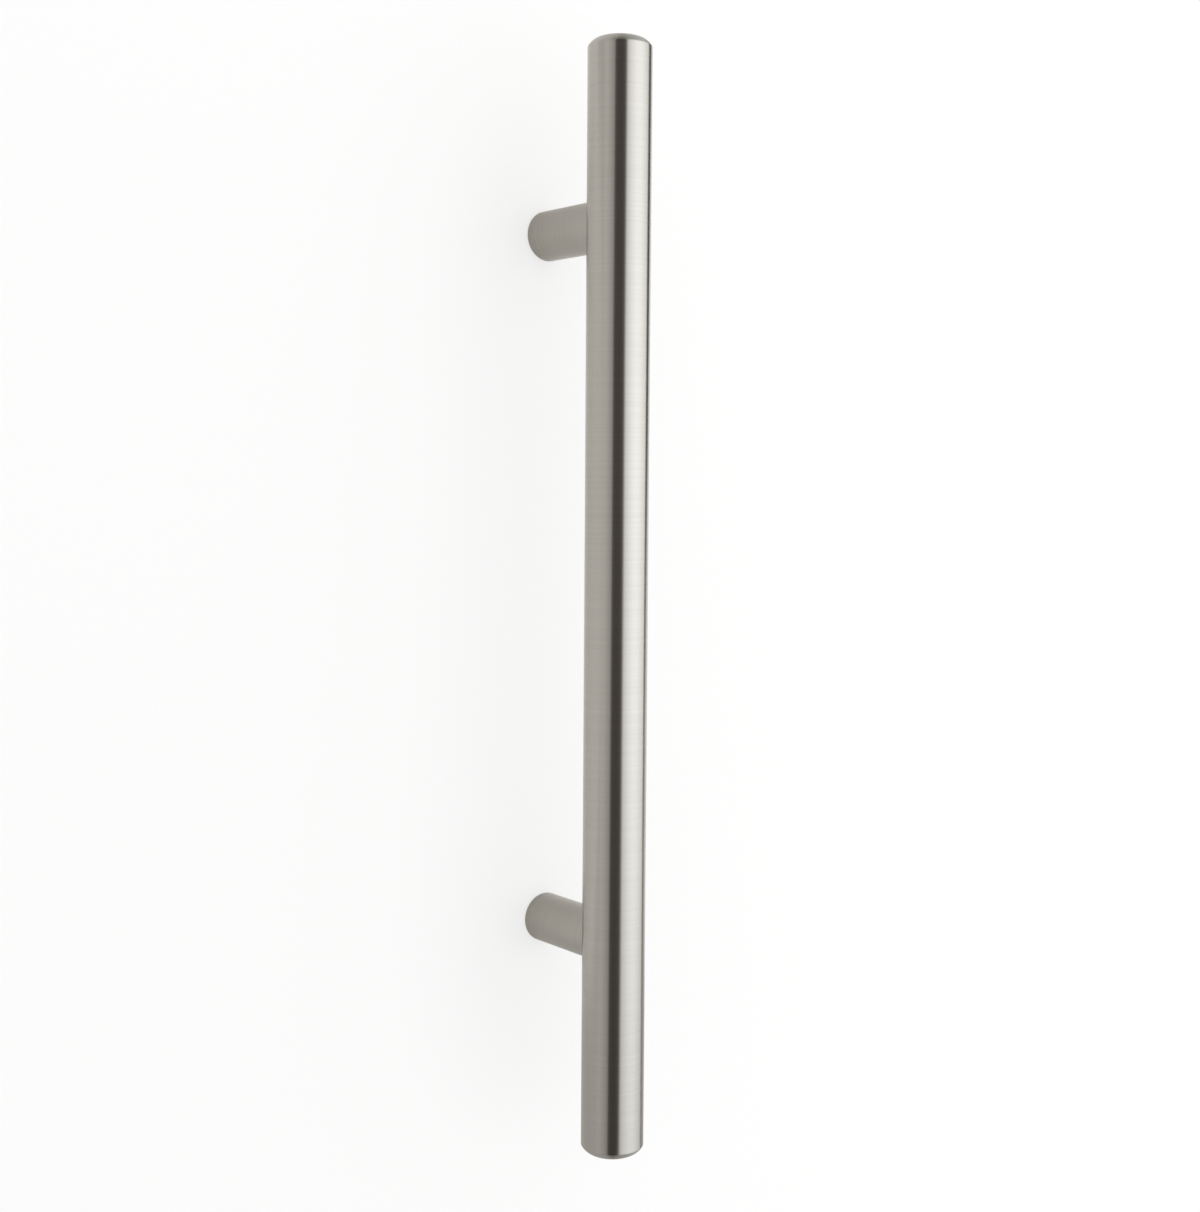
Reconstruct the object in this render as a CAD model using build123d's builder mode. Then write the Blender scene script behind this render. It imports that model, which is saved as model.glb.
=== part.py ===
from build123d import *
from math import radians, tan
import os

# Bar door pull: a solid round grip bar carried on two round posts that stand on the door face.
# Millimetres. The origin lies on the door face, midway between the post feet.
# +Z runs up along the bar, and +Y runs from the bar through the posts into the door.

# Grip bar
bar_diameter = 20.0
bar_length = 350.0
bar_overhang_above = 56.0
bar_axis_from_door = 38.0
bevel_height = 2.8
bevel_width = 4.8

# Posts
fixing_centres = 225.0
post_diameter = 16.0
post_edge_break = 0.4

# Round pocket in the back of the bar that seats the end of each post
pocket_depth = 4.6
pocket_clearance = 0.05

# Threaded studs that join each post to the bar
stud_diameter = 6.0
stud_in_bar = 9.0
stud_in_post = 11.0
stud_end_room = 1.0
stud_end_chamfer = 0.6
stud_clearance = 0.05
stud_socket_across_flats = 3.0
stud_socket_depth = 3.5

# Threaded holes in the feet for the bolts that come through the door
door_thread_diameter = 8.0
web_between_holes = 2.0

# Every threaded hole has a countersunk mouth and ends in a drill point
mouth_chamfer = 0.5
drill_point_angle = 118.0

# Worked-out values
bar_radius = bar_diameter / 2
half_length = bar_length / 2
half_centres = fixing_centres / 2
bar_middle_z = half_centres + bar_overhang_above - half_length
post_radius = post_diameter / 2
pocket_radius = post_radius + pocket_clearance
seat_from_axis = bar_radius - pocket_depth
seat_y = seat_from_axis - bar_axis_from_door
post_length = -seat_y
stud_hole_radius = stud_diameter / 2
stud_radius = stud_hole_radius - stud_clearance
stud_length = stud_in_bar + stud_in_post
bar_hole_depth = stud_in_bar + stud_end_room
post_hole_depth = stud_in_post + stud_end_room
door_hole_radius = door_thread_diameter / 2
drill_slope = tan(radians(drill_point_angle / 2))
stud_drill_point = stud_hole_radius / drill_slope
door_drill_point = door_hole_radius / drill_slope
door_hole_depth = (
    post_length - post_hole_depth - stud_drill_point - door_drill_point - web_between_holes
)

bar_middle = (0, -bar_axis_from_door, bar_middle_z)
bar_axis = Axis(bar_middle, (0, 0, 1))
bar_plane = Plane(bar_middle, x_dir=(1, 0, 0), z_dir=(0, -1, 0))
fixing_heights = {"upper_post": half_centres, "lower_post": -half_centres}


def facing_door(y):
    """Places at both fixing heights, at one distance from the door, with local +Z towards the door."""
    return [Location((0, y, z), (-90, 0, 0)) for z in fixing_heights.values()]


os.makedirs("parts", exist_ok=True)

# Grip bar: turned in one piece, each end rounded over from a crisp crease to a flat face,
# with two flat-bottomed pockets and a blind threaded hole in the floor of each
with BuildPart() as grip_bar:
    with BuildSketch(bar_plane):
        with BuildLine():
            end_rim = (bar_radius - bevel_width, half_length)
            crease = (bar_radius, half_length - bevel_height)
            Polyline(crease, (bar_radius, 0), (0, 0), (0, half_length), end_rim)
            TangentArc(end_rim, crease, tangent=(1, 0))
        make_face()
        mirror(about=Plane.XZ)
    revolve(axis=bar_axis)
    with Locations(*facing_door(seat_y)):
        Cylinder(
            pocket_radius,
            pocket_depth,
            align=(Align.CENTER, Align.CENTER, Align.MIN),
            mode=Mode.SUBTRACT,
        )
        CounterSinkHole(
            stud_hole_radius,
            stud_hole_radius + mouth_chamfer,
            bar_hole_depth,
            counter_sink_angle=90,
        )
    with Locations(*facing_door(seat_y - bar_hole_depth)):
        Cone(
            0,
            stud_hole_radius,
            stud_drill_point,
            align=(Align.CENTER, Align.CENTER, Align.MAX),
            mode=Mode.SUBTRACT,
        )
grip_bar.part.label = "grip_bar"
export_step(grip_bar.part, "parts/grip_bar.step")

# Posts: one turned half-section each, from the foot on the door to the seat in the bar,
# with a blind threaded hole in either end
for name, height in fixing_heights.items():
    with BuildPart() as post:
        with BuildSketch(Plane.XY.offset(height)):
            with BuildLine():
                Polyline(
                    (door_hole_radius + mouth_chamfer, 0),
                    (post_radius - post_edge_break, 0),
                    (post_radius, -post_edge_break),
                    (post_radius, seat_y + post_edge_break),
                    (post_radius - post_edge_break, seat_y),
                    (stud_hole_radius + mouth_chamfer, seat_y),
                    (stud_hole_radius, seat_y + mouth_chamfer),
                    (stud_hole_radius, seat_y + post_hole_depth),
                    (0, seat_y + post_hole_depth + stud_drill_point),
                    (0, -door_hole_depth - door_drill_point),
                    (door_hole_radius, -door_hole_depth),
                    (door_hole_radius, -mouth_chamfer),
                    close=True,
                )
            make_face()
        revolve(axis=Axis((0, 0, height), (0, 1, 0)))
    post.part.label = name
    export_step(post.part, f"parts/{name}.step")

# Joining studs: two headless screws, each half in the bar and half in its post,
# with the key socket on the post side
with BuildPart() as joining_studs:
    with Locations(*facing_door(seat_y - stud_in_bar)):
        Cylinder(
            stud_radius,
            stud_length,
            align=(Align.CENTER, Align.CENTER, Align.MIN),
        )
    chamfer(joining_studs.edges().filter_by(GeomType.CIRCLE), stud_end_chamfer)
    with BuildSketch(Plane.XZ.offset(-seat_y - stud_in_post)):
        with Locations(*[(0, z) for z in fixing_heights.values()]):
            RegularPolygon(stud_socket_across_flats / 2, 6, major_radius=False)
    extrude(amount=stud_socket_depth, mode=Mode.SUBTRACT)
joining_studs.part.label = "joining_studs"
export_step(joining_studs.part, "parts/joining_studs.step")
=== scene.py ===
import math

import bmesh
import bpy
from mathutils import Matrix, Vector


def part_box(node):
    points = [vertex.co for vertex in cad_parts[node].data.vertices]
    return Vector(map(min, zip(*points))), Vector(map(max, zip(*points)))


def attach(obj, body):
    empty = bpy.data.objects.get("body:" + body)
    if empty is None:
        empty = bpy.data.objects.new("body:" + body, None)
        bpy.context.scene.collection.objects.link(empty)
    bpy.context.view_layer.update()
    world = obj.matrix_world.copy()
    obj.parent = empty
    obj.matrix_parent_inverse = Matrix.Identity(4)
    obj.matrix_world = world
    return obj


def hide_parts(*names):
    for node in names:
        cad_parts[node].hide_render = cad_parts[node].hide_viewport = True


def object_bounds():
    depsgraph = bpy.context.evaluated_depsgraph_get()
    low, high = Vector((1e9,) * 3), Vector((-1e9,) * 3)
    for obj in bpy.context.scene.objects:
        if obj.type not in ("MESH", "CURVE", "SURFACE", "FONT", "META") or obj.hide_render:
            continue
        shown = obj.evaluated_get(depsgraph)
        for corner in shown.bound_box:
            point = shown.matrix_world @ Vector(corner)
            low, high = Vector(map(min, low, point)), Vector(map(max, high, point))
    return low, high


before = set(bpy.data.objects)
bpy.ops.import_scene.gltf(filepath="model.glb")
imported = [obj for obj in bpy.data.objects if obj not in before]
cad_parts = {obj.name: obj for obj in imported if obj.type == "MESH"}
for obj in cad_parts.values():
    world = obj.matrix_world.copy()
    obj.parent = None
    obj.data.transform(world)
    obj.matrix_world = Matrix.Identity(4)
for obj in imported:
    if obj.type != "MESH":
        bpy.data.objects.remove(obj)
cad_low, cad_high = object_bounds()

MM = 0.001

# Places in metres: the bar's axis stands off the wall, and the rest comes from the boxes of the nodes
BAR_AXIS_FROM_WALL = 38.0 * MM
bar_low, bar_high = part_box("grip_bar")
bar_middle = Vector((0.0, -BAR_AXIS_FROM_WALL, (bar_low.z + bar_high.z) / 2))
bar_radius = (bar_high.x - bar_low.x) / 2
half_length = (bar_high.z - bar_low.z) / 2
post_boxes = {name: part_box(name) for name in ("upper_post", "lower_post")}
post_low, post_high = post_boxes["upper_post"]
post_radius = (post_high.x - post_low.x) / 2
post_length = post_high.y - post_low.y
fixing_heights = {name: (low.z + high.z) / 2 for name, (low, high) in post_boxes.items()}
stud_low, stud_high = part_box("joining_studs")
stud_radius = (stud_high.x - stud_low.x) / 2

# Sizes of the turned pieces that their boxes don't show
BEVEL_HEIGHT = 2.8 * MM
BEVEL_WIDTH = 4.8 * MM
POCKET_CLEARANCE = 0.05 * MM
STUD_CLEARANCE = 0.05 * MM
STUD_END_ROOM = 1.0 * MM
POST_EDGE_BREAK = 0.4 * MM
MOUTH_CHAMFER = 0.5 * MM
DOOR_HOLE_RADIUS = 4.0 * MM
DOOR_HOLE_WEB = 2.0 * MM
DRILL_POINT_ANGLE = math.radians(118)
DRILL_SLOPE = math.tan(DRILL_POINT_ANGLE / 2)
stud_hole_radius = stud_radius + STUD_CLEARANCE

# Thread in the feet: the ridge's widths and its gap to the mouth are shares of the pitch,
# and at each end it rises from a small share of its depth, at a rate per turn
THREAD_PITCH = 1.25 * MM
THREAD_DEPTH = 0.6 * MM
THREAD_SUNK = 0.05 * MM
THREAD_BASE_HALF = 0.46
THREAD_CREST_HALF = 0.10
THREAD_MOUTH_GAP = 0.6
THREAD_RISE_RATE = 6
THREAD_LEAST_RISE = 0.02

# How finely the pieces are turned
BAR_SEGMENTS = 256
POST_SEGMENTS = 160
ARC_STEPS = 12
THREAD_STEPS_PER_TURN = 48
ON_AXIS = 1e-9
# Rings on the bar above and below each post, in post radii from its axis
JOINT_RING_REACH = 1.2

# Corners that turn more than this are eased over a length, with a ring close by on either side.
# Both lengths are kept to a share of the sides that meet in the corner.
EASED_TURN = math.radians(12)
EDGE_EASE = 0.12 * MM
EDGE_EASE_SHARE = 0.3
EDGE_HOLD = 0.10 * MM
EDGE_HOLD_SHARE = 0.1
# Edges at or above these angles stay crisp
BAR_CREASE = math.radians(40)
THREAD_CREASE = math.radians(30)


# Mesh helpers

def mesh_object(name, build):
    """A new object whose mesh is filled by build(bmesh), with all faces smooth."""
    bm = bmesh.new()
    build(bm)
    bmesh.ops.recalc_face_normals(bm, faces=bm.faces)
    for face in bm.faces:
        face.smooth = True
    mesh = bpy.data.meshes.new(name)
    bm.to_mesh(mesh)
    bm.free()
    piece = bpy.data.objects.new(name, mesh)
    bpy.context.scene.collection.objects.link(piece)
    return piece


def eased(points):
    """A profile of (radius, height) corners, with the sharper corners softened."""
    out = [Vector(points[0])]
    for before, corner, after in zip(points, points[1:], points[2:]):
        before, corner, after = Vector(before), Vector(corner), Vector(after)
        back, on = before - corner, after - corner
        turn = math.pi - back.angle(on)
        if turn < EASED_TURN:
            out.append(corner)
            continue
        reach = min(EDGE_EASE, EDGE_EASE_SHARE * back.length, EDGE_EASE_SHARE * on.length)
        hold = min(EDGE_HOLD, EDGE_HOLD_SHARE * back.length, EDGE_HOLD_SHARE * on.length)
        start = corner + back.normalized() * reach
        end = corner + on.normalized() * reach
        out.append(start + back.normalized() * hold)
        out += [start, (start + 2 * corner + end) / 4, end]
        out.append(end + on.normalized() * hold)
    out.append(Vector(points[-1]))
    return out


def turned(bm, profile, segments, place):
    """Spins a profile of (radius, height) about its height axis and sets it at a place, a 4x4 matrix."""
    angles = [2 * math.pi * k / segments for k in range(segments)]
    rings = []
    for radius, height in profile:
        if radius < ON_AXIS:
            rings.append([bm.verts.new(place @ Vector((0, 0, height)))])
            continue
        ring = []
        for t in angles:
            point = Vector((radius * math.cos(t), radius * math.sin(t), height))
            ring.append(bm.verts.new(place @ point))
        rings.append(ring)
    for ring, following in zip(rings, rings[1:]):
        for k in range(segments):
            corners = [ring[k % len(ring)], ring[(k + 1) % len(ring)]]
            corners += [following[(k + 1) % len(following)], following[k % len(following)]]
            bm.faces.new(dict.fromkeys(corners))


def facing_wall(y, z):
    """A place on a post's axis, with local +Z towards the wall."""
    return Matrix.Translation((bar_middle.x, y, z)) @ Matrix.Rotation(-math.pi / 2, 4, "X")


def crease(piece, angle):
    """Keeps edges sharper than an angle crisp under smooth shading."""
    bm = bmesh.new()
    bm.from_mesh(piece.data)
    for edge in bm.edges:
        edge.smooth = len(edge.link_faces) == 2 and edge.calc_face_angle() < angle
    bm.to_mesh(piece.data)
    bm.free()


# Grip bar: turned body with rounded-over ends, then the pockets and stud holes cut in its back

def bar_profile():
    """The bar's outline from the middle of its upper end to the middle of its lower end."""
    arc_radius = (BEVEL_WIDTH**2 + BEVEL_HEIGHT**2) / (2 * BEVEL_HEIGHT)
    rim = bar_radius - BEVEL_WIDTH
    sweep = math.asin(BEVEL_WIDTH / arc_radius)
    end = [(0.0, half_length)]
    for k in range(ARC_STEPS + 1):
        t = sweep * k / ARC_STEPS
        end.append((rim + arc_radius * math.sin(t), half_length - arc_radius * (1 - math.cos(t))))
    rings = []
    for z in sorted(fixing_heights.values(), reverse=True):
        for side in (1, -1):
            rings.append((bar_radius, z - bar_middle.z + side * JOINT_RING_REACH * post_radius))
    return eased(end + rings + [(r, -z) for r, z in reversed(end)])


def cut(piece, cutter):
    """Takes the cutter's volume out of a piece and deletes the cutter."""
    modifier = piece.modifiers.new("cut", "BOOLEAN")
    modifier.operation = "DIFFERENCE"
    modifier.solver = "EXACT"
    modifier.object = cutter
    depsgraph = bpy.context.evaluated_depsgraph_get()
    mesh = bpy.data.meshes.new_from_object(piece.evaluated_get(depsgraph))
    piece.modifiers.clear()
    piece.data = mesh
    bpy.data.objects.remove(cutter)


def make_bar():
    """The turned bar with a pocket and a stud hole for each post."""
    bar = mesh_object(
        "grip_bar_turned",
        lambda bm: turned(bm, bar_profile(), BAR_SEGMENTS, Matrix.Translation(bar_middle)),
    )
    seat_y = post_low.y
    hole_end = stud_low.y - STUD_END_ROOM - seat_y
    pocket = [
        (0.0, hole_end - stud_hole_radius / DRILL_SLOPE),
        (stud_hole_radius, hole_end),
        (stud_hole_radius, -MOUTH_CHAMFER),
        (stud_hole_radius + MOUTH_CHAMFER, 0.0),
        (post_radius + POCKET_CLEARANCE, 0.0),
        (post_radius + POCKET_CLEARANCE, bar_radius),
        (0.0, bar_radius),
    ]
    for name, z in fixing_heights.items():
        place = facing_wall(seat_y, z)
        cut(bar, mesh_object(name + "_pocket", lambda bm: turned(bm, pocket, POST_SEGMENTS, place)))
    crease(bar, BAR_CREASE)
    return bar


# Posts: turned with eased edges, a threaded hole in the foot and the stud hole in the seat end

stud_hole_depth = stud_high.y + STUD_END_ROOM - post_low.y
stud_drill_point = stud_hole_radius / DRILL_SLOPE
door_drill_point = DOOR_HOLE_RADIUS / DRILL_SLOPE
# Where the full width of the door hole ends, from the seat
door_hole_end = stud_hole_depth + stud_drill_point + DOOR_HOLE_WEB + door_drill_point


def post_profile():
    """The post's half-section, with heights from its seat in the bar to its foot."""
    return [
        (0.0, stud_hole_depth + stud_drill_point),
        (stud_hole_radius, stud_hole_depth),
        (stud_hole_radius, MOUTH_CHAMFER),
        (stud_hole_radius + MOUTH_CHAMFER, 0.0),
        (post_radius - POST_EDGE_BREAK, 0.0),
        (post_radius, POST_EDGE_BREAK),
        (post_radius, post_length - POST_EDGE_BREAK),
        (post_radius - POST_EDGE_BREAK, post_length),
        (DOOR_HOLE_RADIUS + MOUTH_CHAMFER, post_length),
        (DOOR_HOLE_RADIUS, post_length - MOUTH_CHAMFER),
        (DOOR_HOLE_RADIUS, door_hole_end),
        (0.0, door_hole_end - door_drill_point),
    ]


def make_post(node, z):
    """One turned post at a fixing height."""
    place = facing_wall(post_low.y, z)
    return mesh_object(
        node + "_turned", lambda bm: turned(bm, eased(post_profile()), POST_SEGMENTS, place)
    )


def make_thread(node, z):
    """The ridge of the foot's internal thread, one helix on the wall of the hole."""
    place = facing_wall(post_low.y, z)
    start = door_hole_end + THREAD_PITCH
    end = post_length - MOUTH_CHAMFER - THREAD_MOUTH_GAP * THREAD_PITCH
    steps = int(THREAD_STEPS_PER_TURN * (end - start) / THREAD_PITCH)
    base = DOOR_HOLE_RADIUS + THREAD_SUNK
    crest = DOOR_HOLE_RADIUS - THREAD_DEPTH
    section = [
        (base, -THREAD_BASE_HALF),
        (crest, -THREAD_CREST_HALF),
        (crest, THREAD_CREST_HALF),
        (base, THREAD_BASE_HALF),
    ]

    def build(bm):
        rows = []
        for k in range(steps + 1):
            t = 2 * math.pi * k / THREAD_STEPS_PER_TURN
            height = start + THREAD_PITCH * k / THREAD_STEPS_PER_TURN
            from_end = min(k, steps - k)
            rise = min(1.0, THREAD_RISE_RATE * from_end / THREAD_STEPS_PER_TURN)
            rise = max(rise, THREAD_LEAST_RISE)
            row = []
            for radius, side in section:
                r = base + (radius - base) * rise
                point = Vector((r * math.cos(t), r * math.sin(t), height + side * THREAD_PITCH))
                row.append(bm.verts.new(place @ point))
            rows.append(row)
        count = len(section)
        for row, following in zip(rows, rows[1:]):
            for k in range(count):
                m = (k + 1) % count
                bm.faces.new((row[k], row[m], following[m], following[k]))
        bm.faces.new(rows[0])
        bm.faces.new(reversed(rows[-1]))

    thread = mesh_object(node + "_thread", build)
    crease(thread, THREAD_CREASE)
    return thread


# Node helpers

def new_material(name):
    """An empty node material, with its nodes and links. Its glow is found by bounced rays alone."""
    material = bpy.data.materials.new(name)
    material.use_nodes = True
    material.cycles.emission_sampling = "NONE"
    material.node_tree.nodes.clear()
    return material, material.node_tree.nodes, material.node_tree.links


def calc(tree, operation, *values):
    """The result of a maths node on values that are numbers or sockets."""
    node = tree.nodes.new("ShaderNodeMath")
    node.operation = operation
    for socket, value in zip(node.inputs, values):
        if isinstance(value, bpy.types.NodeSocket):
            tree.links.new(value, socket)
        else:
            socket.default_value = value
    return node.outputs["Value"]


def remap(tree, value, low, high, to_low=0.0, to_high=1.0):
    """A value taken from one range to another, held at the ends."""
    node = tree.nodes.new("ShaderNodeMapRange")
    tree.links.new(value, node.inputs["Value"])
    node.inputs["From Min"].default_value = low
    node.inputs["From Max"].default_value = high
    node.inputs["To Min"].default_value = to_low
    node.inputs["To Max"].default_value = to_high
    return node.outputs["Result"]


def blend(tree, kind, factor, first, second):
    """Two colours blended by a factor that is a number or a socket."""
    node = tree.nodes.new("ShaderNodeMix")
    node.data_type = "RGBA"
    node.blend_type = kind
    if isinstance(factor, bpy.types.NodeSocket):
        tree.links.new(factor, node.inputs["Factor"])
    else:
        node.inputs["Factor"].default_value = factor
    tree.links.new(first, node.inputs["A"])
    tree.links.new(second, node.inputs["B"])
    return node.outputs["Result"]


def ramp(tree, value, stops):
    """A colour ramp through (position, colour) stops."""
    node = tree.nodes.new("ShaderNodeValToRGB")
    elements = node.color_ramp.elements
    for k, (position, colour) in enumerate(stops):
        element = elements[k] if k < 2 else elements.new(position)
        element.position = position
        element.color = (*colour, 1.0)
    tree.links.new(value, node.inputs["Fac"])
    return node.outputs["Color"]


# Metal: streaks and bands per metre along the axis, and the share by which the bands change the tone

SATIN_TONE = (0.45, 0.423, 0.379)
SATIN_STREAKS = 2600.0
SATIN_BANDS = 1500.0
BAR_BAND_DEPTH = 0.03
POST_BAND_DEPTH = 0.07
STUD_TONE = (0.30, 0.30, 0.29)
STUD_STREAKS = 800.0
STUD_BANDS = 70.0
STUD_BAND_DEPTH = 0.03

# The brushing itself: noise drawn out round the piece, which drives gloss, relief and tone
STREAKS_ROUND = 10.0
STREAK_DETAIL = 3.0
BANDS_ROUND = 8.0
BAND_DETAIL = 2.0
NOISE_ROUGHNESS = 0.65
NOISE_SPAN = (0.3, 0.7)
METAL_ROUGHNESS = (0.278, 0.298)
GLOSS_STRETCH = 1.0
GLOSS_TURN = 0.25
RELIEF_STRENGTH = 0.06
RELIEF_HEIGHT = 0.01 * MM


def brushed_metal(name, along, tone, streak_scale, band_scale, band_depth):
    """Satin metal brushed round its axis: fine rings of tone, roughness and relief, stretched gloss."""
    material, nodes, links = new_material(name)
    tree = material.node_tree
    output = nodes.new("ShaderNodeOutputMaterial")
    shader = nodes.new("ShaderNodeBsdfPrincipled")
    links.new(shader.outputs["BSDF"], output.inputs["Surface"])
    shader.inputs["Metallic"].default_value = 1.0
    shader.inputs["Anisotropic"].default_value = GLOSS_STRETCH
    shader.inputs["Anisotropic Rotation"].default_value = GLOSS_TURN
    tangent = nodes.new("ShaderNodeTangent")
    tangent.direction_type = "RADIAL"
    tangent.axis = along
    links.new(tangent.outputs["Tangent"], shader.inputs["Tangent"])

    coordinates = nodes.new("ShaderNodeTexCoord")

    def noise(across, lengthways, detail):
        """Noise with one scale round the piece and another along its axis, per metre."""
        mapping = nodes.new("ShaderNodeMapping")
        scale = [lengthways if axis == along else across for axis in "XYZ"]
        mapping.inputs["Scale"].default_value = scale
        links.new(coordinates.outputs["Object"], mapping.inputs["Vector"])
        texture = nodes.new("ShaderNodeTexNoise")
        texture.inputs["Scale"].default_value = 1.0
        texture.inputs["Detail"].default_value = detail
        texture.inputs["Roughness"].default_value = NOISE_ROUGHNESS
        links.new(mapping.outputs["Vector"], texture.inputs["Vector"])
        return texture.outputs["Fac"]

    streaks = noise(STREAKS_ROUND, streak_scale, STREAK_DETAIL)
    bands = noise(BANDS_ROUND, band_scale, BAND_DETAIL)

    darker = [(1 - band_depth) * c for c in tone]
    lighter = [(1 + band_depth) * c for c in tone]
    colour = ramp(tree, bands, list(zip(NOISE_SPAN, (darker, lighter))))
    links.new(colour, shader.inputs["Base Color"])
    links.new(remap(tree, streaks, *NOISE_SPAN, *METAL_ROUGHNESS), shader.inputs["Roughness"])

    bump = nodes.new("ShaderNodeBump")
    bump.inputs["Strength"].default_value = RELIEF_STRENGTH
    bump.inputs["Distance"].default_value = RELIEF_HEIGHT
    links.new(streaks, bump.inputs["Height"])
    links.new(bump.outputs["Normal"], shader.inputs["Normal"])
    return material


bar_metal = brushed_metal(
    "bar_satin_metal", "Z", SATIN_TONE, SATIN_STREAKS, SATIN_BANDS, BAR_BAND_DEPTH
)
post_metal = brushed_metal(
    "post_satin_metal", "Y", SATIN_TONE, SATIN_STREAKS, SATIN_BANDS, POST_BAND_DEPTH
)
stud_metal = brushed_metal(
    "stud_plain_steel", "Y", STUD_TONE, STUD_STREAKS, STUD_BANDS, STUD_BAND_DEPTH
)


# The pieces ride on the one body and stand for their nodes

def dress(piece, material, slot, *nodes):
    """Gives a piece its metal and its body, and hides the nodes that it replaces. The slot is not used."""
    piece.data.materials.clear()
    piece.data.materials.append(material)
    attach(piece, "root")
    if nodes:
        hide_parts(*nodes)


dress(make_bar(), bar_metal, "bar_metal", "grip_bar")
for node, z in fixing_heights.items():
    dress(make_post(node, z), post_metal, "post_metal", node)
    dress(make_thread(node, z), post_metal, "post_metal")
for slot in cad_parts["joining_studs"].material_slots:
    slot.material = stud_metal


# Camera: angles and distance as seen from the bar's middle, and the picture in pixels

CAMERA_AZIMUTH = math.radians(-37.5)
CAMERA_ELEVATION = math.radians(4.0)
CAMERA_ROLL = math.radians(-0.39)
CAMERA_DISTANCE = 0.541
SENSOR_WIDTH_MM = 36.0
FOCAL_PX = 1725.0
IMAGE_WIDTH_PX = 1200
IMAGE_HEIGHT_PX = 1212
BAR_MIDDLE_PX = (616.0, 607.5)

# Stage: a white wall behind the feet, a pale floor, and a studio tent with a dark slit for the camera

WALL_GAP = 0.2 * MM
WALL_HALF_WIDTH = 1.15
WALL_HALF_HEIGHT = 0.9
BACKDROP_COLOUR = (0.957, 0.955, 0.950)
FLOOR_Z = -1.0
FLOOR_HALF_WIDTH = 4.0
# How much of a backdrop's brightness is its own white glow, to the camera and in reflections
WALL_GLOW = 0.63
WALL_GLOW_MIRRORED = 0.05
FLOOR_GLOW = 0.96
FLOOR_GLOW_MIRRORED = 0.60
WORLD_LIGHT = 0.6
TENT_RADIUS = 1.2
TENT_HALF_HEIGHT = 0.9
TENT_HALF_ANGLE = math.radians(100)
TENT_STEPS = 120
TENT_BRIGHTEST = 2.6

# The tent round the bar: degrees to the right of the camera as seen from the bar, brightness, warmth
TENT_STOPS = [
    (-62, 1.05, 0.0), (-40, 0.95, 0.0), (-24, 0.72, 0.0), (-18.5, 0.58, 0.02), (-15.5, 0.125, 0.06),
    (20, 0.125, 0.06), (24, 0.50, 0.02), (28, 1.50, -0.02), (34, 1.76, -0.04), (49, 2.18, -0.05),
    (66, 2.44, -0.05), (84, 2.38, -0.05), (104, 1.94, -0.04), (121, 1.70, -0.02), (124, 0.20, 0.0),
]
# The tent from low to high: sine of the elevation, share of the brightness
TENT_DOME = [
    (-0.6, 0.48), (-0.35, 0.77), (-0.1, 1.00), (0.0, 1.00), (0.22, 0.92), (0.6, 0.85),
]
# Towards straight up and straight down the tent is held down to a plain grey
TENT_CAP_FADE = (0.60, 0.95)
TENT_CAP_UP = 0.32
TENT_CAP_DOWN = 0.45
# Light for matt surfaces: even all round, a little stronger from the right and from above
FILL_LEVEL = 1.04
FILL_LEAN = 0.40
FILL_RISE = 0.20
# Cards on the wall that show only in reflections: left, right, lower and upper edge, brightness
CARD_GAP = 1.0 * MM
REFLECTED_CARDS = {
    "dark_card_upper": (0.17, WALL_HALF_WIDTH, 0.02, WALL_HALF_HEIGHT, 0.03),
    "dark_card_lower": (0.19, WALL_HALF_WIDTH, -WALL_HALF_HEIGHT, 0.02, 0.50),
    "grey_card_upper": (-WALL_HALF_WIDTH, -0.067, 0.17, WALL_HALF_HEIGHT, 0.70),
    "grey_card_middle": (-WALL_HALF_WIDTH, -0.067, -0.145, 0.17, 0.90),
    "grey_card_lower": (-WALL_HALF_WIDTH, 0.19, -WALL_HALF_HEIGHT, -0.145, 0.66),
}


def backdrop_level(tree, seen, mirrored):
    """One number for rays from the camera and another for those that metal and glass send back."""
    path = tree.nodes.new("ShaderNodeLightPath")
    glossy, transmitted = path.outputs["Is Glossy Ray"], path.outputs["Is Transmission Ray"]
    bounced = calc(tree, "MAXIMUM", glossy, transmitted)
    bounced = calc(tree, "MULTIPLY", bounced, mirrored)
    return calc(tree, "MULTIPLY_ADD", path.outputs["Is Camera Ray"], seen, bounced)


def backdrop_material(name, seen, mirrored):
    """White surface that keeps shadows, seen from its front only."""
    material, nodes, links = new_material(name)
    tree = material.node_tree
    output = nodes.new("ShaderNodeOutputMaterial")
    diffuse = nodes.new("ShaderNodeBsdfDiffuse")
    diffuse.inputs["Color"].default_value = (*BACKDROP_COLOUR, 1.0)
    glow = nodes.new("ShaderNodeEmission")
    lit = nodes.new("ShaderNodeMixShader")
    links.new(backdrop_level(tree, seen, mirrored), lit.inputs["Fac"])
    links.new(diffuse.outputs["BSDF"], lit.inputs[1])
    links.new(glow.outputs["Emission"], lit.inputs[2])
    geometry = nodes.new("ShaderNodeNewGeometry")
    clear = nodes.new("ShaderNodeBsdfTransparent")
    one_sided = nodes.new("ShaderNodeMixShader")
    links.new(geometry.outputs["Backfacing"], one_sided.inputs["Fac"])
    links.new(lit.outputs["Shader"], one_sided.inputs[1])
    links.new(clear.outputs["BSDF"], one_sided.inputs[2])
    links.new(one_sided.outputs["Shader"], output.inputs["Surface"])
    return material


def card_material(name, level):
    """A plain glow of one brightness."""
    material, nodes, links = new_material(name)
    output = nodes.new("ShaderNodeOutputMaterial")
    glow = nodes.new("ShaderNodeEmission")
    glow.inputs["Strength"].default_value = level
    links.new(glow.outputs["Emission"], output.inputs["Surface"])
    return material


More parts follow.
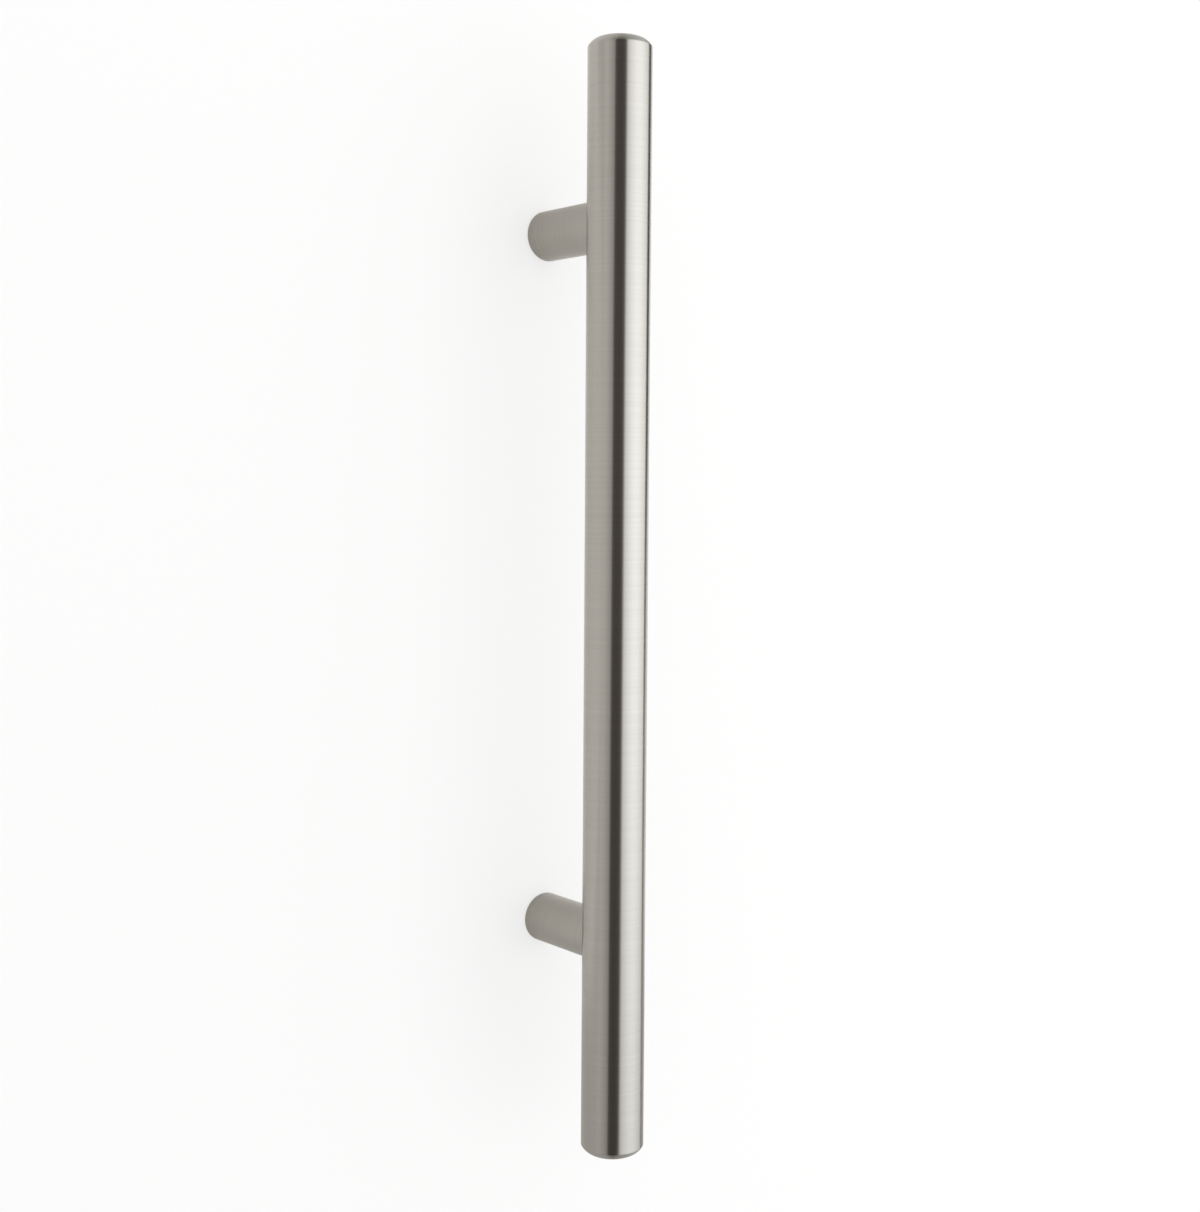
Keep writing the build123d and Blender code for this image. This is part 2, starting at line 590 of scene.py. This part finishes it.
def tent_material():
    """Light that changes with the angle round the bar, so the bar shows upright stripes."""
    material, nodes, links = new_material("studio_tent")
    tree = material.node_tree
    coordinates = nodes.new("ShaderNodeTexCoord")
    direction = nodes.new("ShaderNodeVectorMath")
    direction.operation = "NORMALIZE"
    links.new(coordinates.outputs["Object"], direction.inputs[0])
    parts = nodes.new("ShaderNodeSeparateXYZ")
    links.new(direction.outputs["Vector"], parts.inputs["Vector"])
    rise = parts.outputs["Z"]
    to_front = calc(tree, "MULTIPLY", parts.outputs["Y"], -1.0)
    angle = calc(tree, "ARCTAN2", parts.outputs["X"], to_front)

    round_bar = []
    for degrees, level, warmth in TENT_STOPS:
        turn = math.radians(degrees) + CAMERA_AZIMUTH
        tint = (1 + warmth, 1.0, 1 - warmth)
        colour = [level / TENT_BRIGHTEST * c for c in tint]
        round_bar.append(((turn + TENT_HALF_ANGLE) / (2 * TENT_HALF_ANGLE), colour))
    low_to_high = [((z + 1) / 2, (level,) * 3) for z, level in TENT_DOME]
    sweep = ramp(tree, remap(tree, angle, -TENT_HALF_ANGLE, TENT_HALF_ANGLE), round_bar)
    dome = ramp(tree, remap(tree, rise, -1.0, 1.0), low_to_high)
    sides = blend(tree, "MULTIPLY", 1.0, sweep, dome)

    fade_start = TENT_CAP_FADE[0]
    caps = remap(tree, rise, -fade_start, fade_start, TENT_CAP_DOWN, TENT_CAP_UP)
    caps = calc(tree, "DIVIDE", caps, TENT_BRIGHTEST)
    towards_cap = remap(tree, calc(tree, "ABSOLUTE", rise), *TENT_CAP_FADE)
    mirrored = blend(tree, "DARKEN", towards_cap, sides, caps)

    fill = calc(tree, "MULTIPLY_ADD", parts.outputs["X"], FILL_LEAN, FILL_LEVEL)
    fill = calc(tree, "MULTIPLY_ADD", rise, FILL_RISE, fill)
    fill = calc(tree, "DIVIDE", fill, TENT_BRIGHTEST)
    path = nodes.new("ShaderNodeLightPath")
    matt = calc(tree, "MINIMUM", path.outputs["Diffuse Depth"], 1.0)
    glow = nodes.new("ShaderNodeEmission")
    glow.inputs["Strength"].default_value = TENT_BRIGHTEST
    links.new(blend(tree, "MIX", matt, mirrored, fill), glow.inputs["Color"])
    output = nodes.new("ShaderNodeOutputMaterial")
    links.new(glow.outputs["Emission"], output.inputs["Surface"])
    return material


def panel(name, corners, material):
    """A flat stage panel through four corners, its front where they run anticlockwise."""
    mesh = bpy.data.meshes.new(name)
    mesh.from_pydata(corners, [], [(0, 1, 2, 3)])
    mesh.materials.append(material)
    piece = bpy.data.objects.new(name, mesh)
    bpy.context.scene.collection.objects.link(piece)
    return piece


def upright(name, left, right, bottom, top, y, material):
    """A panel that stands at a distance y and faces the bar."""
    corners = [(left, y, bottom), (right, y, bottom), (right, y, top), (left, y, top)]
    return panel(name, corners, material)


def make_tent():
    """A drum of light round the front of the bar, closed above and below, which the camera sees through."""
    verts, faces = [], []
    for height in (-TENT_HALF_HEIGHT, TENT_HALF_HEIGHT):
        verts.append((0, 0, height))
        for k in range(TENT_STEPS + 1):
            t = TENT_HALF_ANGLE * (2 * k / TENT_STEPS - 1)
            verts.append((TENT_RADIUS * math.sin(t), -TENT_RADIUS * math.cos(t), height))
    row = TENT_STEPS + 2
    for k in range(1, TENT_STEPS + 1):
        faces.append((k, k + 1, row + k + 1, row + k))
        faces.append((0, k + 1, k))
        faces.append((row, row + k, row + k + 1))
    mesh = bpy.data.meshes.new("studio_tent")
    mesh.from_pydata(verts, [], faces)
    mesh.materials.append(tent_material())
    tent = bpy.data.objects.new("studio_tent", mesh)
    tent.location = bar_middle
    tent.visible_camera = False
    bpy.context.scene.collection.objects.link(tent)


def make_stage():
    """The wall, the floor, the cards on the wall and the tent."""
    wide, tall = WALL_HALF_WIDTH, WALL_HALF_HEIGHT
    wall_y = cad_high.y + WALL_GAP
    wall_white = backdrop_material("wall_white", WALL_GLOW, WALL_GLOW_MIRRORED)
    upright("white_wall", -wide, wide, -tall, tall, wall_y, wall_white)
    reach = FLOOR_HALF_WIDTH
    floor_white = backdrop_material("floor_white", FLOOR_GLOW, FLOOR_GLOW_MIRRORED)
    corners = [(-reach, -reach), (reach, -reach), (reach, reach), (-reach, reach)]
    panel("pale_floor", [(x, y, FLOOR_Z) for x, y in corners], floor_white)
    for name, (left, right, bottom, top, level) in REFLECTED_CARDS.items():
        glow = card_material(name, level)
        card = upright(name, left, right, bottom, top, wall_y - CARD_GAP, glow)
        card.visible_camera = False
        card.visible_diffuse = False
        card.visible_transmission = False
        card.visible_shadow = False
    make_tent()


def make_world():
    """White to the camera and in reflections, and a plain light elsewhere."""
    world = bpy.data.worlds.new("studio")
    world.use_nodes = True
    world.cycles.sampling_method = "NONE"
    tree = world.node_tree
    background = tree.nodes["Background"]
    background.inputs["Color"].default_value = (1.0, 1.0, 1.0, 1.0)
    level = remap(tree, backdrop_level(tree, 1.0, 1.0), 0.0, 1.0, WORLD_LIGHT, 1.0)
    tree.links.new(level, background.inputs["Strength"])
    bpy.context.scene.world = world


def make_camera():
    """Camera that puts the bar's middle at its place in the picture."""
    cos_a, sin_a = math.cos(CAMERA_AZIMUTH), math.sin(CAMERA_AZIMUTH)
    cos_e, sin_e = math.cos(CAMERA_ELEVATION), math.sin(CAMERA_ELEVATION)
    back = Vector((sin_a * cos_e, -cos_a * cos_e, sin_e))
    level_right = Vector((cos_a, sin_a, 0.0))
    level_up = back.cross(level_right)
    right = math.cos(CAMERA_ROLL) * level_right - math.sin(CAMERA_ROLL) * level_up
    up = math.sin(CAMERA_ROLL) * level_right + math.cos(CAMERA_ROLL) * level_up
    px = CAMERA_DISTANCE / FOCAL_PX
    off_right = (BAR_MIDDLE_PX[0] - IMAGE_WIDTH_PX / 2) * px
    off_down = (BAR_MIDDLE_PX[1] - IMAGE_HEIGHT_PX / 2) * px
    place = bar_middle + back * CAMERA_DISTANCE - right * off_right + up * off_down
    data = bpy.data.cameras.new("camera")
    data.sensor_width = SENSOR_WIDTH_MM
    data.lens = FOCAL_PX / max(IMAGE_WIDTH_PX, IMAGE_HEIGHT_PX) * data.sensor_width
    camera = bpy.data.objects.new("camera", data)
    turn = Matrix((right, up, back)).transposed()
    camera.matrix_world = Matrix.Translation(place) @ turn.to_4x4()
    bpy.context.scene.collection.objects.link(camera)
    bpy.context.scene.camera = camera


make_stage()
make_world()
make_camera()
bpy.context.scene.view_settings.view_transform = "Standard"
